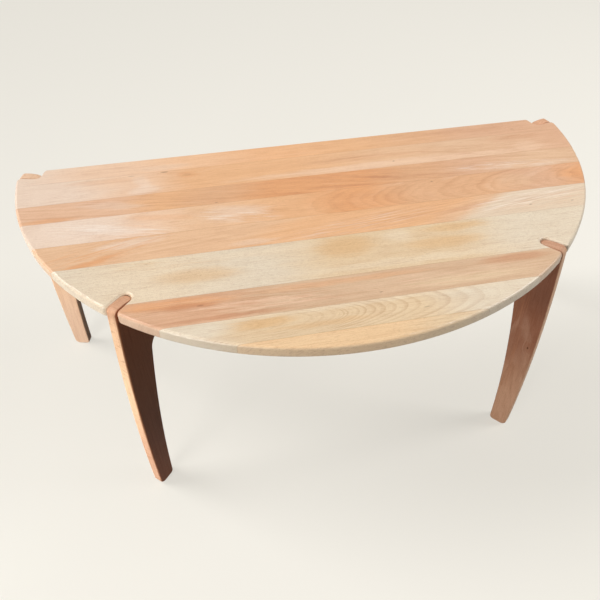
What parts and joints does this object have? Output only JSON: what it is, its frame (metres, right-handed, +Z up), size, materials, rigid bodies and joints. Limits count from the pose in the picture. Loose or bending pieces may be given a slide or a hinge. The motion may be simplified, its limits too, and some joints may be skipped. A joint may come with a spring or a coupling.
{
  "type": "half-round table",
  "caption": "Low half-round table: an edge-glued beech stave top with a straight rear edge, on plate legs let into slots in its rim, with knees that carry the top from below.",
  "frame": {"origin": "on the floor, under the middle of the table's overall width and depth", "axes": "+X along the straight rear edge, +Y towards the rear edge, +Z up"},
  "size_m": [1.2082, 0.6, 0.51],
  "materials": {
    "stave_1_beech": "clear satin lacquer",
    "stave_2_beech": "clear satin lacquer",
    "stave_3_beech": "clear satin lacquer",
    "stave_4_beech": "clear satin lacquer",
    "stave_5_beech": "clear satin lacquer",
    "stave_6_beech": "clear satin lacquer",
    "stave_7_beech": "clear satin lacquer",
    "stave_8_beech": "clear satin lacquer",
    "stave_9_beech": "clear satin lacquer",
    "leg_beech": "clear satin lacquer",
    "dowel_beech": "raw",
    "screw_steel": "zinc plated"
  },
  "bodies": {
    "root": {"stave_1": "stave_1_beech", "stave_2": "stave_2_beech", "stave_3": "stave_3_beech", "stave_4": "stave_4_beech", "stave_5": "stave_5_beech", "stave_6": "stave_6_beech", "stave_7": "stave_7_beech", "stave_8": "stave_8_beech", "stave_9": "stave_9_beech", "leg_front_left": "leg_beech", "leg_front_right": "leg_beech", "leg_rear_left": "leg_beech", "leg_rear_right": "leg_beech", "dowels_front_left": "dowel_beech", "dowels_front_right": "dowel_beech", "dowels_rear_left": "dowel_beech", "dowels_rear_right": "dowel_beech", "screws_front_left": "screw_steel", "screws_front_right": "screw_steel", "screws_rear_left": "screw_steel", "screws_rear_right": "screw_steel"}
  },
  "joints": []
}
